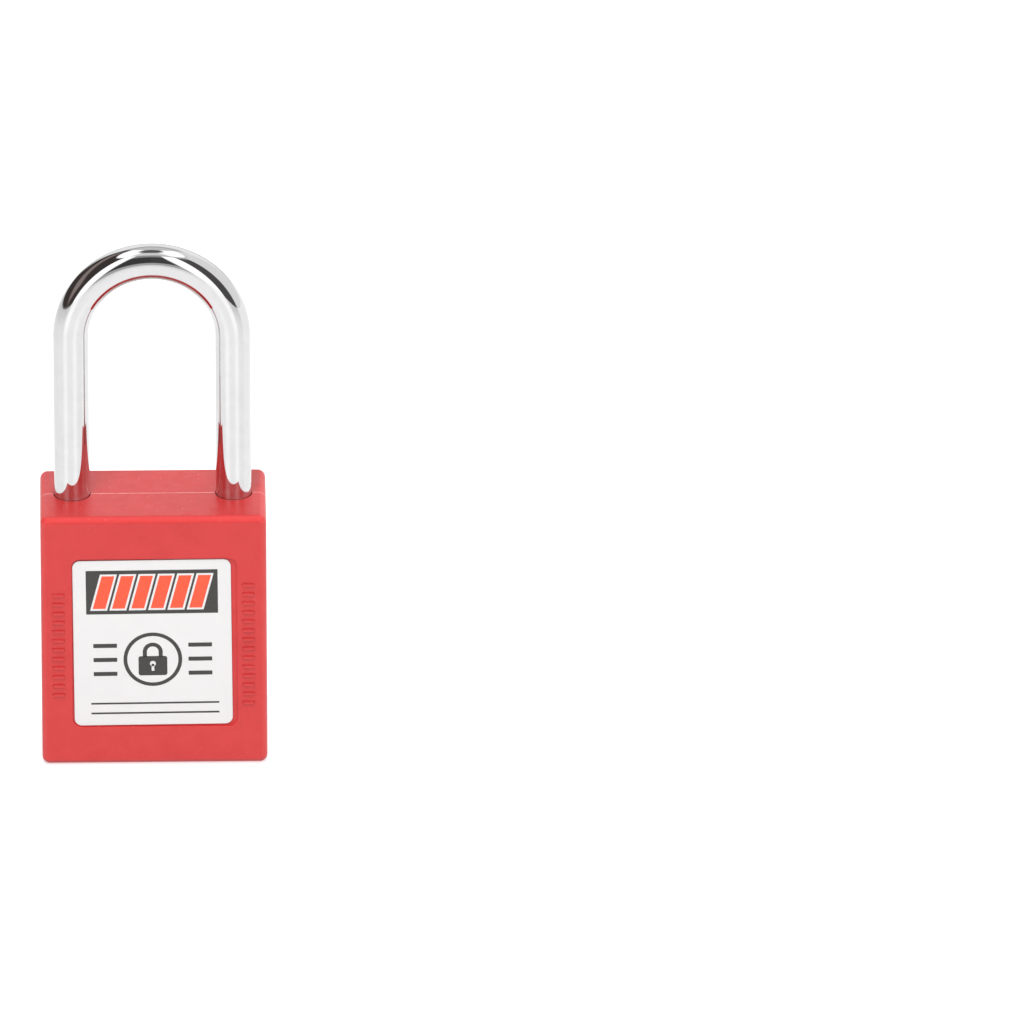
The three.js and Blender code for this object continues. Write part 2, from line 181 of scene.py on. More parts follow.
def discard(piece):
    """Removes a piece that was only an aid, and its mesh."""
    mesh = piece.data
    bpy.data.objects.remove(piece)
    bpy.data.meshes.remove(mesh)


def join(name, pieces):
    """Puts the meshes of several pieces into one object."""
    bm = bmesh.new()
    for piece in pieces:
        bm.from_mesh(piece.data)
        discard(piece)
    mesh = bpy.data.meshes.new(name)
    bm.to_mesh(mesh)
    bm.free()
    joined = bpy.data.objects.new(name, mesh)
    bpy.context.scene.collection.objects.link(joined)
    return joined


def settle(piece):
    """Applies the modifiers of a piece to its mesh."""
    bpy.context.view_layer.update()
    graph = bpy.context.evaluated_depsgraph_get()
    result = bpy.data.meshes.new_from_object(piece.evaluated_get(graph))
    piece.modifiers.clear()
    old = piece.data
    piece.data = result
    bpy.data.meshes.remove(old)
    return piece


def smooth(piece, sharp_angle=38):
    """Smooth shading that keeps hard edges, with flat faces left flat."""
    bm = bmesh.new()
    bm.from_mesh(piece.data)
    bmesh.ops.remove_doubles(bm, verts=bm.verts, dist=2 * WELD)
    bmesh.ops.dissolve_degenerate(bm, edges=bm.edges, dist=WELD)
    for face in bm.faces:
        face.smooth = True
    for edge in bm.edges:
        edge.smooth = edge.calc_face_angle(0) < math.radians(sharp_angle)
    bm.to_mesh(piece.data)
    bm.free()
    weighted = piece.modifiers.new("normals", "WEIGHTED_NORMAL")
    weighted.keep_sharp = True
    weighted.mode = "FACE_AREA"
    return piece


def finish_piece(piece, material, body, replaced=()):
    """Gives a piece its material, its CAD body and the CAD nodes that it stands for."""
    piece.data.materials.clear()
    piece.data.materials.append(material)
    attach(piece, body)
    for node in replaced:
        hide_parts(node)
    return piece


# ---- materials ----

class Nodes:
    """Short ways to add nodes to the tree of a material or a world."""

    def __init__(self, tree):
        self.tree = tree

    def feed(self, socket, value):
        """Links a socket to an input, or sets the input to a number or a colour."""
        if isinstance(value, bpy.types.NodeSocket):
            self.tree.links.new(value, socket)
        else:
            socket.default_value = value

    def node(self, kind, inputs=None, **settings):
        made = self.tree.nodes.new(kind)
        for key, value in settings.items():
            setattr(made, key, value)
        for key, value in (inputs or {}).items():
            self.feed(made.inputs[key], value)
        return made

    def axes(self, vector):
        """The X, Y and Z of a vector."""
        return self.node("ShaderNodeSeparateXYZ", {0: vector}).outputs

    def math(self, operation, first, second=0.0):
        return self.node("ShaderNodeMath", {0: first, 1: second}, operation=operation).outputs[0]

    def mix(self, factor, first, second):
        made = self.node("ShaderNodeMix", data_type="RGBA")
        for key, value in (("Factor", factor), ("A", first), ("B", second)):
            self.feed([s for s in made.inputs if s.name == key and s.enabled][0], value)
        return [s for s in made.outputs if s.enabled][0]


class Shader(Nodes):
    """A principled material with its nodes."""

    def __init__(self, name, **values):
        self.material = bpy.data.materials.new(name)
        self.material.use_nodes = True
        super().__init__(self.material.node_tree)
        self.bsdf = self.tree.nodes["Principled BSDF"]
        names = {label.lower().replace(" ", "_"): label for label in self.bsdf.inputs.keys()}
        for label, value in values.items():
            self.bsdf.inputs[names[label]].default_value = value

    def link(self, socket, label):
        self.tree.links.new(socket, self.bsdf.inputs[label])

    def normal_axes(self):
        return self.axes(self.node("ShaderNodeNewGeometry").outputs["Normal"])

    def place(self, stretch=(1, 1, 1)):
        """Object coordinates in metres, stretched along the axes."""
        source = self.node("ShaderNodeTexCoord").outputs["Object"]
        mapping = self.node("ShaderNodeMapping", {"Vector": source, "Scale": stretch})
        return mapping.outputs["Vector"]

    def noise(self, scale, detail=3.0, roughness=0.5, stretch=(1, 1, 1)):
        inputs = {"Vector": self.place(stretch), "Scale": scale, "Detail": detail,
                  "Roughness": roughness}
        return self.node("ShaderNodeTexNoise", inputs).outputs["Fac"]

    def ramp(self, value, low, high, low_out=0.0, high_out=1.0):
        inputs = {"Value": value, "From Min": low, "From Max": high,
                  "To Min": low_out, "To Max": high_out}
        return self.node("ShaderNodeMapRange", inputs).outputs["Result"]

    def tone(self, scale, detail=3.0, roughness=0.5, low=0.0, high=1.0):
        """Noise with the middle of its range spread from low to high."""
        noise_low, noise_high = 0.3, 0.7
        return self.ramp(self.noise(scale, detail, roughness), noise_low, noise_high, low, high)

    def uneven_roughness(self, scale, low, high, detail=3.0, roughness=0.5):
        self.link(self.tone(scale, detail, roughness, low, high), "Roughness")

    def specks(self, scale, size, rarity):
        """Small round spots: cells of a Voronoi pattern, of which only the rare ones count."""
        cells = self.node("ShaderNodeTexVoronoi", {"Vector": self.place(), "Scale": scale})
        chance = self.node("ShaderNodeSeparateColor", {0: cells.outputs["Color"]}).outputs[0]
        near = self.ramp(cells.outputs["Distance"], size, size * 0.6)
        return self.math("MULTIPLY", near, self.math("GREATER_THAN", chance, rarity))

    def bump(self, height, distance, strength=1.0, under=None):
        inputs = {"Height": height, "Distance": distance, "Strength": strength}
        if under is not None:
            inputs["Normal"] = under
        return self.node("ShaderNodeBump", inputs).outputs["Normal"]


def nylon_material(name, upper_edge_painted_light, lower_edge_painted_shade):
    """Moulded red nylon: fine grain, slight sinks, dust specks, and a pale line along the seam.

    The rounded edges take painted light in their colours: the upper and upright ones a painted
    highlight on the body and painted shade on the rib marks, the lower ones painted shade."""
    red, darker_red = (0.635, 0.035, 0.035, 1), (0.58, 0.028, 0.028, 1)
    pale_dust_and_seam_line = (0.9, 0.6, 0.58, 1)
    seam_inner, seam_outer = 0.05 * MM, 0.11 * MM
    shader = Shader(name, ior=1.5)
    colour = shader.mix(shader.tone(260, 5, 0.7), red, darker_red)
    across_seam = shader.math("ABSOLUTE", shader.axes(shader.place())["Y"])
    normal = shader.normal_axes()
    upward = shader.ramp(normal["Z"], 0.3, 0.9)
    x, y, z = [shader.math("ABSOLUTE", normal[axis]) for axis in "XYZ"]
    squareness = shader.math("MAXIMUM", z, shader.math("MAXIMUM", x, y))
    rounding = shader.ramp(squareness, 0.985, 0.9)
    # Painted light: rounded edges facing up or sideways get a painted highlight on the body and
    # painted shade on the rib marks; rounded edges facing down get painted shade.
    above = shader.math("MULTIPLY", rounding, shader.ramp(normal["Z"], -0.15, 0.2))
    below = shader.math("MULTIPLY", rounding, shader.ramp(normal["Z"], -0.2, -0.5))
    colour = shader.mix(above, colour, upper_edge_painted_light)
    colour = shader.mix(below, colour, lower_edge_painted_shade)
    specks = shader.specks(1400, size=0.12, rarity=0.76)
    seam = shader.ramp(across_seam, seam_outer, seam_inner)
    pale_seam_line = shader.math("MULTIPLY", seam, shader.ramp(shader.noise(700, 3), 0.3, 0.6, 0.45, 1.0))
    dust = shader.math("MULTIPLY", specks, shader.ramp(upward, 0, 1, 0.12, 0.7))
    colour = shader.mix(shader.math("MAXIMUM", dust, pale_seam_line), colour, pale_dust_and_seam_line)
    shader.link(colour, "Base Color")
    shader.uneven_roughness(500, 0.36, 0.46, 5, 0.6)
    sinks = shader.bump(shader.noise(60, 2), 0.1 * MM, 0.5)
    grain = shader.bump(shader.noise(4200, 3, 0.6), 0.02 * MM, 0.6, sinks)
    shader.link(grain, "Normal")
    return shader.material


def chrome_material():
    """Bright plating: faint waves and hairlines, painted shade on faces that point down such as
    inside the bend, rubbed low down.
    """
    silver, darker_silver = (0.66, 0.66, 0.665, 1), (0.63, 0.63, 0.635, 1)
    underside_shade_grey = (0.4, 0.36, 0.35, 1)
    rubbed_from, rubbed_to = HEIGHT + 0.5 * MM, HEIGHT + 3.5 * MM
    shader = Shader("chrome_steel", metallic=1.0)
    # Painted shade: faces that point down, such as inside the bend, take a darker grey-brown colour
    # and more roughness.
    underside_painted_shade = shader.ramp(shader.normal_axes()["Z"], -0.4, -0.6)
    bright = shader.mix(shader.tone(500), silver, darker_silver)
    shader.link(shader.mix(underside_painted_shade, bright, underside_shade_grey), "Base Color")
    low = shader.ramp(shader.axes(shader.place())["Z"], rubbed_to, rubbed_from)
    rubbed = shader.math("MULTIPLY", low, shader.ramp(shader.noise(900, 4, 0.7), 0.4, 0.7, 0, 0.18))
    polish = shader.ramp(shader.noise(1800, 4, 0.6), 0.3, 0.75, 0.02, 0.07)
    worn = shader.math("ADD", rubbed, shader.math("MULTIPLY", underside_painted_shade, 0.22))
    shader.link(shader.math("ADD", polish, worn), "Roughness")
    shader.link(shader.math("SUBTRACT", 1.0, shader.math("MULTIPLY", rubbed, 0.9)), "Metallic")
    wave = shader.bump(shader.noise(260, 2), 0.008 * MM, 0.35)
    hairlines = shader.bump(shader.noise(5000, 2, 0.5, (1, 1, 0.04)), 0.0015 * MM, 0.4, wave)
    shader.link(hairlines, "Normal")
    return shader.material


def vinyl_material():
    """Laminated white label film, with painted shade on its edge."""
    white, darker_white = (0.765, 0.76, 0.758, 1), (0.745, 0.741, 0.741, 1)
    edge_shade_brown = (0.3, 0.17, 0.17, 1)
    shader = Shader("white_vinyl", roughness=0.36, ior=1.48)
    face = shader.mix(shader.tone(220, 4, 0.6), white, darker_white)
    # Painted shade: the film's edge faces are dark brown, standing in for the shadow line round the
    # label.
    edge_painted_shade = shader.ramp(shader.math("ABSOLUTE", shader.normal_axes()["Y"]), 0.96, 0.85)
    shader.link(shader.mix(edge_painted_shade, face, edge_shade_brown), "Base Color")
    shader.link(shader.bump(shader.noise(1500, 3), 0.004 * MM, 0.4), "Normal")
    return shader.material


def ink_material(name, colour, faded):
    """Printed ink that thins a little in places."""
    shader = Shader(name, ior=1.45)
    wear = shader.ramp(shader.noise(2200, 4, 0.6), 0.5, 0.85)
    shader.link(shader.mix(wear, colour, faded), "Base Color")
    shader.uneven_roughness(900, 0.32, 0.42)
    return shader.material


def metal_material(name, colour, darker, low, high, grain=0.004 * MM):
    """Bare metal with stained tones and a fine grain, its roughness between low and high."""
    shader = Shader(name, metallic=1.0)
    shader.link(shader.mix(shader.tone(700, 4, 0.6), colour, darker), "Base Color")
    shader.uneven_roughness(1500, low, high, 4, 0.6)
    shader.link(shader.bump(shader.noise(4000, 3, 0.6), grain, 0.6), "Normal")
    return shader.material


def turned_material(name, colour, darker, spacing):
    """Lathe-turned metal, with fine rings round the vertical axis at the given spacing."""
    wave_length = math.pi / 10  # of the wave texture at a scale of 1
    shader = Shader(name, metallic=1.0)
    shader.link(shader.mix(shader.tone(600, 4, 0.6), colour, darker), "Base Color")
    shader.uneven_roughness(1500, 0.2, 0.34, 4, 0.6)
    wave = {"Vector": shader.place(), "Scale": wave_length / spacing, "Distortion": 0.6,
            "Detail": 2.0}
    rings = shader.node("ShaderNodeTexWave", wave, wave_type="RINGS", rings_direction="Z")
    fine = shader.bump(shader.noise(4000, 3), 0.002 * MM, 0.5)
    shader.link(shader.bump(rings.outputs["Fac"], 0.002 * MM, 0.6, fine), "Normal")
    return shader.material


# The two edge colours are painted light: a brighter painted highlight on upper edges, painted shade
# on lower edges.
nylon = nylon_material("red_nylon", (0.725, 0.05, 0.05, 1), (0.43, 0.028, 0.028, 1))
# A shaded copy of the nylon for the rib marks: painted shade on all their rounded edges.
rib_nylon_painted_shade = nylon_material("red_nylon_ribs_painted_shade", (0.47, 0.03, 0.03, 1), (0.36, 0.025, 0.025, 1))
chrome = chrome_material()
vinyl = vinyl_material()
charcoal_ink = ink_material("charcoal_ink", (0.043, 0.04, 0.039, 1), (0.06, 0.056, 0.055, 1))
red_ink = ink_material("red_ink", (0.93, 0.093, 0.036, 1), (0.9, 0.13, 0.07, 1))
brass = turned_material("turned_brass", (0.74, 0.53, 0.25, 1), (0.62, 0.43, 0.19, 1), 0.1 * MM)
plated_steel = metal_material("plated_steel", (0.56, 0.57, 0.58, 1), (0.42, 0.43, 0.45, 1),
                              0.25, 0.42)
spring_steel = metal_material("spring_steel", (0.5, 0.51, 0.53, 1), (0.36, 0.37, 0.39, 1),
                              0.2, 0.35)
zinc = metal_material("zinc_casting", (0.5, 0.51, 0.52, 1), (0.38, 0.39, 0.4, 1), 0.4, 0.6,
                      grain=0.02 * MM)
CAD_MATERIALS = {"brass": brass, "plated_steel": plated_steel, "spring_steel": spring_steel,
                 "zinc_casting": zinc, "chrome_steel": chrome, "red_nylon": nylon,
                 "white_vinyl": vinyl}


# ---- body halves ----

SEAM_CHAMFER = 0.09 * MM
RECESS_FILLET = 0.12 * MM
FLOOR_FILLET = 0.1 * MM
ROUND_STEPS = 7
OUTLINE_STEPS = 8
FRONT, REAR = -1, 1


def body_ring(inset, y, side):
    outline = rounded_rectangle(WIDTH - 2 * inset, HEIGHT - 2 * inset, CORNER_RADIUS - inset,
                                OUTLINE_STEPS, (0, HEIGHT / 2))
    return [(x, side * y, z) for x, z in outline]


def recess_ring(outset, y, side):
    outline = rounded_rectangle(RECESS_WIDTH + 2 * outset, RECESS_HEIGHT + 2 * outset,
                                RECESS_RADIUS + outset, OUTLINE_STEPS,
                                (RECESS_CENTRE.x, RECESS_CENTRE.z))
    return [(x, side * y, z) for x, z in outline]


def half_rings(side):
    """Rings from the seam round the outer edge, over the broad face and down into the recess."""
    face = DEPTH / 2
    rings = [body_ring(SEAM_CHAMFER, 0, side), body_ring(0, SEAM_CHAMFER, side)]
    rings += [body_ring(EDGE_RADIUS * inward, face - EDGE_RADIUS * back, side)
              for inward, back in quarter_turn(ROUND_STEPS)]
    rings += [recess_ring(RECESS_FILLET * outward, face - RECESS_FILLET * back, side)
              for back, outward in quarter_turn(4)]
    rings += [recess_ring(-FLOOR_FILLET * inward, face - RECESS_DEPTH + FLOOR_FILLET * out, side)
              for inward, out in quarter_turn(3)]
    return rings


def hole_cutter(name, radius, rim_z, far_z, x, rim):
    """A hole whose mouth at rim_z is rounded by a rim of that radius. far_z is its other end."""
    away = 1 if rim_z > far_z else -1
    profile = [(0, rim_z + away * MM), (radius + rim, rim_z + away * MM)]
    profile += [(radius + rim * outward, rim_z - away * rim * inward)
                for inward, outward in quarter_turn(5)]
    profile += [(radius, far_z), (0, far_z)]
    return lathe(name, profile, centre=(x, 0))


def pocket_cutters():
    """The spaces inside the body, as in the CAD, with rounded mouths where they show."""
    block_play, block_play_below = Vector((0.15, 0.15, 0)) * MM, Vector((0, 0, 0.2 * MM))
    bore, bore_floor = -housing_low.x + 0.1 * MM, 2 * MM
    stack_play = 0.3 * MM
    heel_radius, heel_floor, heel_segments = 3.45 * MM, 3 * MM, 64
    key_radius, key_top, key_rim = 5.95 * MM, 2.2 * MM, 0.35 * MM
    leg_radius, leg_rim = BAR_RADIUS + 0.09 * MM, 0.1 * MM
    top = block_low.z
    cutters = [
        block("pocket_block", block_low - block_play - block_play_below, block_high + block_play),
        lathe("pocket_bore", [(0, bore_floor), (bore, bore_floor), (bore, top), (0, top)]),
        block("pocket_pins", (0, cover_low.y - stack_play, cover_low.z - stack_play),
              (cover_high.x + stack_play, cover_high.y + stack_play, cover_high.z + stack_play)),
        lathe("pocket_heel", [(0, heel_floor), (heel_radius, heel_floor), (heel_radius, top),
                              (0, top)], heel_segments, (-LEG_X, 0)),
        hole_cutter("mouth_key", key_radius, 0, key_top, 0, key_rim),
    ]
    for name, x in (("mouth_heel", -LEG_X), ("mouth_toe", LEG_X)):
        cutters.append(hole_cutter(name, leg_radius, HEIGHT, block_high.z - MM, x, leg_rim))
    return cutters


def body_half(name, side):
    return smooth(combine(loft(name, half_rings(side)), pocket_cutters()))


def rib(x, z, side):
    """One raised rib with a rounded top edge, sunk a little into the broad face."""
    width, height, corner, soft, sunk = 2.1 * MM, 0.6 * MM, 0.28 * MM, 0.12 * MM, 0.15 * MM
    levels = [(0, -sunk), (0, RIB_RELIEF - soft)]
    levels += [(soft * inward, RIB_RELIEF - soft * down) for inward, down in quarter_turn(4, 1)]
    rings = []
    for inset, rise in levels:
        outline = rounded_rectangle(width - 2 * inset, height - 2 * inset, corner - inset, 4,
                                    (x, z))
        rings.append([(px, side * (DEPTH / 2 + rise), pz) for px, pz in outline])
    return loft("rib", rings)


def mark_ribs(name, side):
    """A column of ribs at each side of the recess, where the photo has moulded capitals."""
    pitch, middle_z = 1.675 * MM, 22.2 * MM
    columns = ((-16.1 * MM, 12), (15.9 * MM, 14))
    bars = [rib(x, middle_z + (index - (count - 1) / 2) * pitch, side)
            for x, count in columns for index in range(count)]
    return smooth(join(name, bars))


for half_name, node, side in (("front_half", "front_shell", FRONT),
                              ("rear_half", "rear_shell", REAR)):
    finish_piece(body_half(half_name, side), nylon, "root", [node])
    # The ribs take the shaded copy of the nylon, with painted shade on their edges.
    finish_piece(mark_ribs(half_name + "_ribs", side), rib_nylon_painted_shade, "root")


# ---- labels ----

def on_label(piece, centre, tilt):
    """Turns a piece made about the origin by the label's tilt and puts it at the label's place."""
    piece.data.transform(Matrix.Rotation(-tilt, 4, "Y"))
    piece.data.transform(Matrix.Translation((centre.x, 0, centre.z)))
    return piece


def label_plate(name, side, centre, tilt):
    """The film, lying on the recess floor, with a softened front edge."""
    soft = 0.1 * MM
    edge = soft * 0.3
    base = DEPTH / 2 - RECESS_DEPTH
    levels = ((0, 0), (0, LABEL_THICKNESS - soft), (edge, LABEL_THICKNESS - edge),
              (soft, LABEL_THICKNESS))
    rings = []
    for inset, rise in levels:
        outline = rounded_rectangle(LABEL_WIDTH - 2 * inset, LABEL_HEIGHT - 2 * inset,
                                    LABEL_RADIUS - inset, OUTLINE_STEPS)
        rings.append([(px, side * (base + rise), pz) for px, pz in outline])
    return smooth(on_label(loft(name, rings), centre, tilt))


INK_STEP = 0.012 * MM


def ink(name, shapes, material, layer, side, centre, tilt):
    """Printed shapes on a label, joined. A shape is an outline, or an outer and an inner one."""
    low = DEPTH / 2 - RECESS_DEPTH + LABEL_THICKNESS - INK_STEP
    high = low + INK_STEP * (layer + 1)

    def ring(outline, y):
        return [(-side * x, side * y, z) for x, z in outline]

    prints = []
    for shape in shapes:
        if isinstance(shape, tuple):
            outer, inner = shape
            rings = [ring(outer, low), ring(outer, high), ring(inner, high), ring(inner, low)]
            prints.append(loft(name, rings, closed=True))
        else:
            prints.append(loft(name, [ring(shape, low), ring(shape, high)]))
    printed = on_label(join(name, prints), centre, tilt)
    return finish_piece(printed, material, "root")


def bar(width, height, centre, radius=0.1 * MM):
    """A plain bar with slightly rounded corners."""
    return rounded_rectangle(width, height, radius, 3, centre)


def slanted(centre_x, centre_z, width, height, lean):
    """A parallelogram whose top is moved sideways by lean."""
    low, high = centre_z - height / 2, centre_z + height / 2
    left, right = centre_x - width / 2, centre_x + width / 2
    return [(left - lean / 2, low), (right - lean / 2, low), (right + lean / 2, high),
            (left + lean / 2, high)]


def arch(radius, stroke, foot_z, spring_z, steps=24):
    """The outline of an upside-down U, drawn as one band."""
    turns = [math.pi * step / steps for step in range(steps + 1)]
    small = radius - stroke
    outer = [(radius * math.cos(a), spring_z + radius * math.sin(a)) for a in turns]
    inner = [(small * math.cos(a), spring_z + small * math.sin(a)) for a in reversed(turns)]
    feet = [(-radius, foot_z), (-small, foot_z)]
    return [(radius, foot_z)] + outer + feet + inner + [(small, foot_z)]


def lock_symbol(name, centre_z, size, **place):
    """A plain padlock sign in a round border. Size is the border's radius."""
    body_z = centre_z - 0.24 * size
    body_top = body_z + 0.36 * size
    border = (circle(size, (0, centre_z)), circle(0.87 * size, (0, centre_z)))
    body = bar(0.98 * size, 0.72 * size, (0, body_z), 0.08 * size)
    loop = arch(0.34 * size, 0.14 * size, body_top - 0.02 * size, body_top + 0.16 * size)
    keyhole = [circle(0.1 * size, (0, body_z + 0.08 * size), 24),
               bar(0.09 * size, 0.26 * size, (0, body_z - 0.06 * size), 0.02 * size)]
    ink(name, [border, body, loop], charcoal_ink, 1, **place)
    ink(name + "_keyhole", keyhole, vinyl, 2, **place)


HEADER_WIDTH = 22.2 * MM


def front_header(place):
    """A charcoal band with slanted red stripes in white borders."""
    header_z, height = 9.37 * MM, 8.05 * MM
    width, stripe_height, lean, pitch, border = 2.15 * MM, 6 * MM, 1.6 * MM, 3.25 * MM, 0.34 * MM
    ink("header_band", [bar(HEADER_WIDTH, height, (0, header_z))], charcoal_ink, 1, **place)
    stripes_x = [(index - 2.5) * pitch for index in range(6)]
    borders = [slanted(x, header_z, width + 2.1 * border, stripe_height + 2 * border, lean * 1.1)
               for x in stripes_x]
    ink("header_borders", borders, vinyl, 2, **place)
    stripes = [slanted(x, header_z, width, stripe_height, lean) for x in stripes_x]
    ink("header_stripes", stripes, red_ink, 3, **place)


def front_print():
    """A hazard band, a padlock sign between plain bars, and two write-on lines."""
    place = dict(side=FRONT, centre=LABEL_CENTRE, tilt=LABEL_TILT)
    front_header(place)
    sign_z, sign_radius = -3.1 * MM, 4.95 * MM
    lock_symbol("sign", sign_z, sign_radius, **place)
    bar_width, bar_height, bar_x, row_pitch = 4 * MM, 0.75 * MM, 8 * MM, 2.6 * MM
    bars = [bar(bar_width, bar_height, (side_x * bar_x, sign_z + row * row_pitch))
            for side_x in (-1, 1) for row in (-1, 0, 1)]
    line_width, line_height, line_x, line_radius = 21.6 * MM, 0.32 * MM, 0.3 * MM, 0.05 * MM
    lines = [bar(line_width, line_height, (line_x, z), line_radius) for z in (-11.2 * MM, -13 * MM)]
    ink("plain_bars", bars + lines, charcoal_ink, 1, **place)


def rear_print():
    """A plain band over ruled lines to write on, each with a tick box."""
    place = dict(side=REAR, centre=REAR_LABEL_CENTRE, tilt=0.0)
    band_height, band_z = 4.2 * MM, 11.3 * MM
    rule_width, rule_height, rule_x, rule_drop = 17.4 * MM, 0.2 * MM, 2.4 * MM, 1.1 * MM
    box_x, box_outer, box_inner = -9.7 * MM, 2.6 * MM, 2.1 * MM
    shapes = [bar(HEADER_WIDTH, band_height, (0, band_z))]
    for row in range(4):
        z = (5.6 - 5.4 * row) * MM
        shapes.append(bar(rule_width, rule_height, (rule_x, z - rule_drop), 0.05 * MM))
        shapes.append((bar(box_outer, box_outer, (box_x, z), 0.3 * MM),
                       bar(box_inner, box_inner, (box_x, z), 0.15 * MM)))
    ink("rear_rules", shapes, charcoal_ink, 1, **place)


finish_piece(label_plate("front_label_film", FRONT, LABEL_CENTRE, LABEL_TILT), vinyl, "root",
             ["front_label"])
finish_piece(label_plate("rear_label_film", REAR, REAR_LABEL_CENTRE, 0.0), vinyl, "root",
             ["rear_label"])
front_print()
rear_print()


# ---- shackle ----

def shackle_rings(sides=64, bend_steps=96):
    """Rings from the heel's tip up the left leg, over the bend and down to the toe's tip."""
    chamfer, toe_chamfer, leg_top_z = 0.4 * MM, 0.8 * MM, BEND_Z - 8 * MM
    neck, neck_low, neck_high = 1.8 * MM, 17.4 * MM, 32.8 * MM
    heel = [(BAR_RADIUS - chamfer, HEEL_TIP_Z), (BAR_RADIUS, HEEL_TIP_Z + chamfer),
            (BAR_RADIUS, neck_low), (neck, neck_low), (neck, neck_high), (BAR_RADIUS, neck_high),
            (BAR_RADIUS, HEIGHT), (BAR_RADIUS, leg_top_z)]
    toe = [(BAR_RADIUS, leg_top_z), (BAR_RADIUS, HEIGHT), (BAR_RADIUS, TOE_TIP_Z + toe_chamfer)]
    toe += [(BAR_RADIUS - toe_chamfer * (1 - math.cos(a)),
             TOE_TIP_Z + toe_chamfer * (1 - math.sin(a))) for a in (0.4, 0.8, 1.2, QUARTER_TURN)]
    angles = [2 * math.pi * index / sides for index in range(sides)]
    reaches = [LEG_X + BAR_RADIUS * math.cos(a) for a in angles]

    def level(x, radius, z, flip):
        return [(x + flip * radius * math.cos(a), -radius * math.sin(a), z) for a in angles]

    rings = [level(-LEG_X, radius, z, -1) for radius, z in heel]
    for step in range(bend_steps + 1):
        turn = math.pi * step / bend_steps
        out_x, out_z = -math.cos(turn), math.sin(turn)
        rings.append([(out_x * reach, -BAR_RADIUS * math.sin(a), BEND_Z + out_z * reach)
                      for a, reach in zip(angles, reaches)])
    rings += [level(LEG_X, radius, z, 1) for radius, z in toe]
    return rings


def toe_notch():
    """The wedge that is cut from the toe leg for the bolt, with a ramp below the bolt."""
    floor_x, outside_x, reach_y = 11.95 * MM, LEG_X - BAR_RADIUS - MM, 4 * MM
    top, bottom, ramp_slope = 41.8 * MM, 37.8 * MM, 2.514
    side = [(outside_x, top), (floor_x, top), (floor_x, bottom),
            (outside_x, bottom - ramp_slope * (floor_x - outside_x))]
    return loft("notch", [[(x, y, z) for x, z in side] for y in (-reach_y, reach_y)])


shackle = smooth(combine(loft("shackle_bar", shackle_rings()), [toe_notch()]))
finish_piece(shackle, chrome, "shackle", ["shackle"])


# ---- key cylinder ----

PIN_CLEARANCE = 0.1 * MM
pin_boxes = [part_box(f"key_pin_{number}") for number in range(1, 6)]
CHAMBER_HEIGHTS = [(low.z + high.z) / 2 for low, high in pin_boxes]
CHAMBER_RADIUS = pin_boxes[0][1].y + PIN_CLEARANCE


def chamber_cutters(start_x, end_x):
    """One round hole along X for each stack of pins."""
    cutters = []
    for z in CHAMBER_HEIGHTS:
        rings = [[(x, y, z + up) for y, up in circle(CHAMBER_RADIUS)] for x in (start_x, end_x)]
        cutters.append(loft("chamber", rings))
    return cutters


def housing_shell():
    """The barrel round the plug, chamfered at its face, with the block that holds the stacks."""
    outer, neck, shoulder_z = -housing_low.x, 5.85 * MM, 2.05 * MM
    bore, head_bore, head_z = 4.5 * MM, 5 * MM, 1.75 * MM
    face, top, soft = housing_low.z, housing_high.z, 0.2 * MM
    block_start_x, chamber_start_x = 5.2 * MM, 3 * MM
    profile = [(neck - soft, face), (neck, face + soft), (neck, shoulder_z), (outer, shoulder_z),
               (outer, top - soft), (outer - soft, top), (bore, top), (bore, head_z),
               (head_bore, head_z), (head_bore, face + soft / 2), (head_bore + soft / 2, face)]
    barrel = lathe("housing", profile, closed=True)
    stacks = block("stacks", (block_start_x, -cover_high.y, cover_low.z),
                   (cover_low.x, cover_high.y, cover_high.z))
    combine(barrel, [stacks], "UNION")
    return smooth(combine(barrel, chamber_cutters(chamber_start_x, cover_low.x + MM)))


def keyway_outline(grow):
    """The slot for the key, with a ward on each side, in the plug's own x and y."""
    left, right, half = -3.9 * MM - grow, 3.2 * MM + grow, 0.9 * MM + grow
    tip = half - 0.52 * MM
    near_ward = [(-2.9 * MM, -half), (-2.6 * MM, -tip), (-1.9 * MM, -tip), (-1.6 * MM, -half)]
    far_ward = [(-0.2 * MM, half), (-0.5 * MM, tip), (-1.2 * MM, tip), (-1.5 * MM, half)]
    return [(left, -half)] + near_ward + [(right, -half), (right, half)] + far_ward + [(left, half)]


def plug_body():
    """The plug: a chamfered head, the barrel, a clip groove, and a flatted tail for the cam."""
    face, top, head, barrel = plug_low.z, plug_high.z, plug_high.x, 4.4 * MM
    head_z, groove, groove_z, tail, tail_z = 1.7 * MM, 2.6 * MM, 27.9 * MM, 3 * MM, 28.7 * MM
    soft, slot_soft, slot_top_z, chamber_start_x = 0.15 * MM, 0.3 * MM, 24 * MM, -0.3 * MM
    flat_y, flat_z, flat_reach = 1.5 * MM, 30.6 * MM, 5 * MM
    profile = [(0, face), (head - soft, face), (head, face + soft), (head, head_z),
               (barrel, head_z), (barrel, groove_z), (groove, groove_z), (groove, tail_z),
               (tail, tail_z), (tail, top - soft), (tail - soft, top), (0, top)]
    levels = [(face - 0.05 * MM, slot_soft), (face + 0.25 * MM, 0), (slot_top_z, 0)]
    slot = loft("keyway", [[(x, y, z) for x, y in keyway_outline(grow)] for z, grow in levels])
    flats = [block("flat", (-flat_reach, low_y, flat_z), (flat_reach, high_y, top + MM))
             for low_y, high_y in ((-flat_reach, -flat_y), (flat_y, flat_reach))]
    plug = lathe("plug_turned", profile)
    chambers = chamber_cutters(chamber_start_x, barrel + MM)
    return smooth(combine(plug, [slot] + flats + chambers))


finish_piece(housing_shell(), brass, "root", ["cylinder_housing"])
finish_piece(plug_body(), brass, "plug", ["plug"])


# ---- springs ----

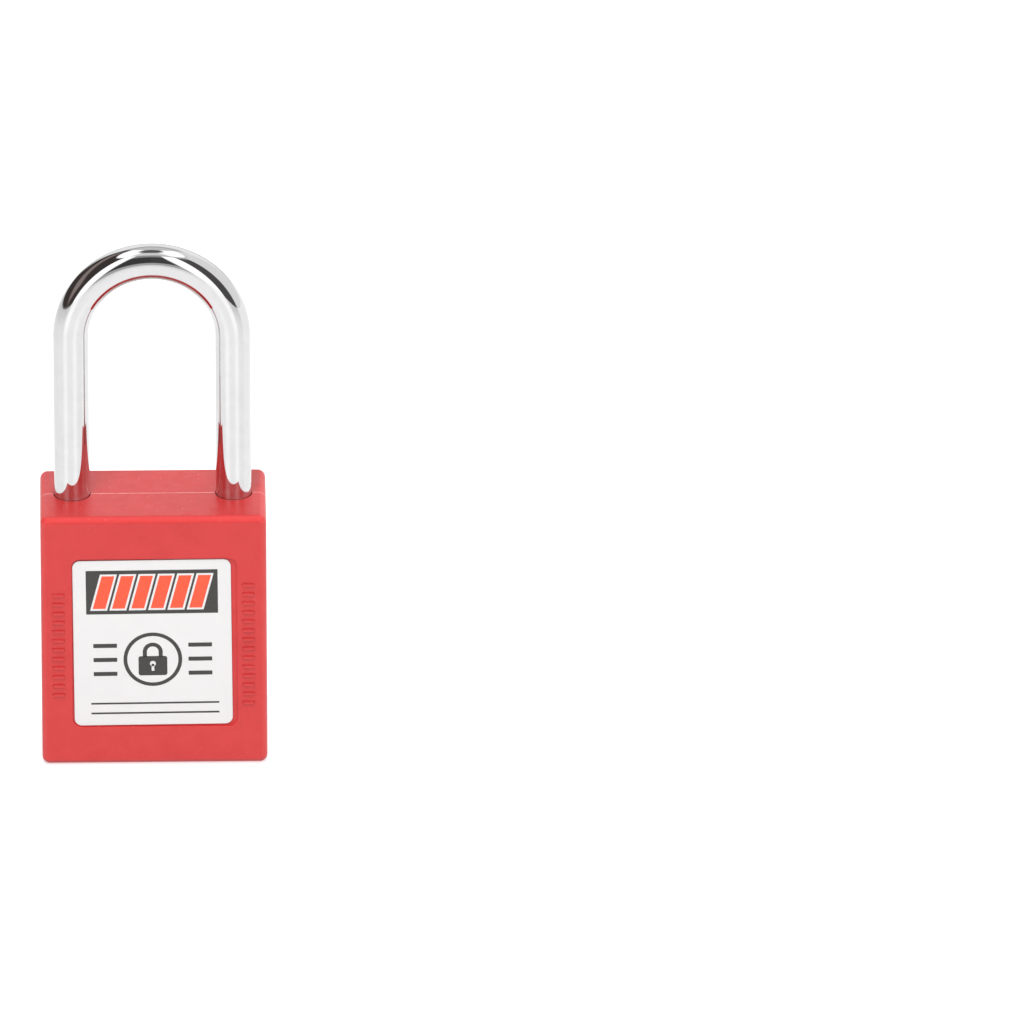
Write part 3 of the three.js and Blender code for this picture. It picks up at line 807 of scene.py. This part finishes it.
def coil(name, length, radius, wire_radius, turns):
    """A spring of round wire that stands on the origin and winds up the vertical axis.

    The radius is that of the wire's middle line."""
    turn_steps, wire_sides = 24, 10
    steps = turns * turn_steps
    rings = []
    for step in range(steps + 1):
        angle = 2 * math.pi * step / turn_steps
        middle_z = wire_radius + (length - 2 * wire_radius) * step / steps
        rings.append([(reach * math.cos(angle), reach * math.sin(angle), z)
                      for reach, z in circle(wire_radius, (radius, middle_z), wire_sides)])
    return smooth(loft(name, rings))


def fit_spring(piece, node):
    """Lets a spring stand for a CAD node: gives it spring steel, bakes its place into its mesh and
    hides the node.
    """
    piece.data.materials.append(spring_steel)
    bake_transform(piece)
    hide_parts(node)


def shackle_spring():
    low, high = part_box("shackle_spring")
    radius, wire_radius, turns, seat = 2.4 * MM, 0.4 * MM, 6, 0.9 * MM
    piece = coil("shackle_spring_coil", high.z - low.z, radius, wire_radius, turns)
    piece.data.transform(Matrix.Translation((-LEG_X, 0, low.z)))
    fit_spring(piece, "shackle_spring")


def pin_spring(number):
    low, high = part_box(f"pin_spring_{number}")
    radius, wire_radius, turns, seat = 0.85 * MM, 0.15 * MM, 5, 0.3 * MM
    z = CHAMBER_HEIGHTS[number - 1]
    piece = coil(f"pin_spring_{number}_coil", high.x - low.x, radius, wire_radius, turns)
    piece.data.transform(Matrix.Translation((low.x, 0, z)) @ Matrix.Rotation(QUARTER_TURN, 4, "Y"))
    fit_spring(piece, f"pin_spring_{number}")


shackle_spring()
for number in range(1, 6):
    pin_spring(number)


# ---- the CAD's own nodes, with a finish for each ----

slot_of = {row["node"]: row["material_slot"] for row in frame["record"]["subparts"]}
for node, cad_object in frame["nodes"].items():
    cad_object.data.materials.clear()
    cad_object.data.materials.append(CAD_MATERIALS[slot_of[node]])


# ---- studio ----

def studio_floor():
    """A bright, slightly glossy floor, just below the object so that the two don't coincide."""
    reach, thickness, gap = 6, 0.02, 0.00001
    floor = block("floor", (-reach, -reach, -thickness), (reach, reach, -gap))
    shader = Shader("floor_acrylic", roughness=0.3, emission_color=(1, 1, 1, 1),
                    emission_strength=0.56)
    pale, darker = (0.6, 0.6, 0.6, 1), (0.58, 0.58, 0.58, 1)
    shader.link(shader.mix(shader.noise(3), pale, darker), "Base Color")
    floor.data.materials.append(shader.material)


def studio_world():
    """A light tent seen by directions: azimuth from +Y towards +X, and elevation, in degrees."""
    world = bpy.data.worlds.new("studio")
    bpy.context.scene.world = world
    world.use_nodes = True
    tree = world.node_tree
    nodes = Nodes(tree)
    background = tree.nodes["Background"]
    direction = nodes.axes(nodes.node("ShaderNodeTexCoord").outputs["Generated"])
    azimuth = nodes.math("ARCTAN2", direction["X"], direction["Y"])
    elevation = nodes.math("ARCSINE", direction["Z"])

    def step(value, edge, soft):
        inputs = {"Value": value, "From Min": math.radians(edge - soft),
                  "From Max": math.radians(edge + soft)}
        return nodes.node("ShaderNodeMapRange", inputs,
                          interpolation_type="SMOOTHSTEP").outputs["Result"]

    def zone(value, low, high, soft):
        return nodes.math("SUBTRACT", step(value, low, soft), step(value, high, soft))

    room, streak, panel, gap = (0.11, 0.09, 0.085), (0.6, 0.49, 0.46), (3, 3, 3), (0.25, 0.25, 0.25)
    # Each zone: azimuth from, to; elevation from, to; softness; colour. Later ones lie on top.
    zones = [
        (-131, -27, 0, 61, 2, room),
        (35, 107, -5, 60, 4, (1.9, 1.9, 1.9)),
        (107, 144, -5, 56, 2.5, (0.18, 0.17, 0.17)),
        (-205, -155, 12, 62, 3, (0.12, 0.115, 0.115)),
        (166, 205, 12, 62, 3, (0.14, 0.14, 0.14)),
        (-205, -153, 50, 64, 4, (0.75, 0.75, 0.75)),
        (158, 205, 50, 64, 4, (0.75, 0.75, 0.75)),
        (-155, -131, -5, 66, 1.5, panel),
        (144, 166, -6, 57, 1.5, panel),
        (-140, -30, 61, 80, 1.5, panel),
        (42, 147, 61, 80, 1.5, panel),
        (-205, -140, 62, 76, 3, (1.8, 1.8, 1.8)),
        (147, 205, 62, 76, 3, (1.8, 1.8, 1.8)),
        (-30, 42, 55, 76, 4, (1.5, 1.5, 1.5)),
        (-30, 42, 76, 86, 3, (1.1, 1.1, 1.1)),
        (-205, 205, 80, 100, 2, gap),
        (-30, 42, 8, 45, 6, (2.2, 2.2, 2.2)),
    ]
    level = (1.0, 1.0, 1.0, 1)
    for az_low, az_high, el_low, el_high, soft, colour in zones:
        mask = nodes.math("MULTIPLY", zone(azimuth, az_low, az_high, soft),
                          zone(elevation, el_low, el_high, soft))
        level = nodes.mix(mask, level, (*colour, 1))

    # A pale diagonal streak across the dark side, which rises with the azimuth.
    streak_slope, strength = -0.57, 0.54
    across = nodes.math("ADD", elevation, nodes.math("MULTIPLY", azimuth, streak_slope))
    mask = nodes.math("MULTIPLY", zone(across, 64, 84, 5), zone(azimuth, -108, -40, 6))
    level = nodes.mix(mask, level, (*streak, 1))
    tree.links.new(level, background.inputs["Color"])
    background.inputs["Strength"].default_value = strength


def area_light(name, place, target, size, power):
    """A square lamp that lights the object without showing in its reflections."""
    data = bpy.data.lights.new(name, "AREA")
    data.size = size
    data.energy = power
    lamp = bpy.data.objects.new(name, data)
    lamp.location = place
    lamp.rotation_euler = (Vector(target) - Vector(place)).to_track_quat("-Z", "Y").to_euler()
    lamp.visible_glossy = False
    bpy.context.scene.collection.objects.link(lamp)


def studio_camera():
    """A long lens, above and well away. It aims beside the padlock, which stands at the left."""
    distance, azimuth, elevation = 3.6, math.radians(-0.1), math.radians(24.41)
    pan, tilt = math.radians(1.157), math.radians(24.311)
    middle = Vector((0, 0, 0.035))
    sensor_width, lens_per_width, clip_end = 36, 20.848, 50
    place = middle + distance * Vector((math.sin(azimuth) * math.cos(elevation),
                                        -math.cos(azimuth) * math.cos(elevation),
                                        math.sin(elevation)))
    forward = Vector((math.sin(pan) * math.cos(tilt), math.cos(pan) * math.cos(tilt),
                      -math.sin(tilt)))
    data = bpy.data.cameras.new("camera")
    data.sensor_width = sensor_width
    data.lens = sensor_width * lens_per_width
    data.clip_end = clip_end
    camera = bpy.data.objects.new("camera", data)
    camera.location = place
    camera.rotation_euler = forward.to_track_quat("-Z", "Y").to_euler()
    bpy.context.scene.collection.objects.link(camera)
    bpy.context.scene.camera = camera


studio_floor()
studio_world()
area_light("front_fill", place=(-0.05, -0.31, 0.62), target=(0, 0, 0.03), size=0.3, power=2.5)
studio_camera()
bpy.context.scene.view_settings.view_transform = "Standard"
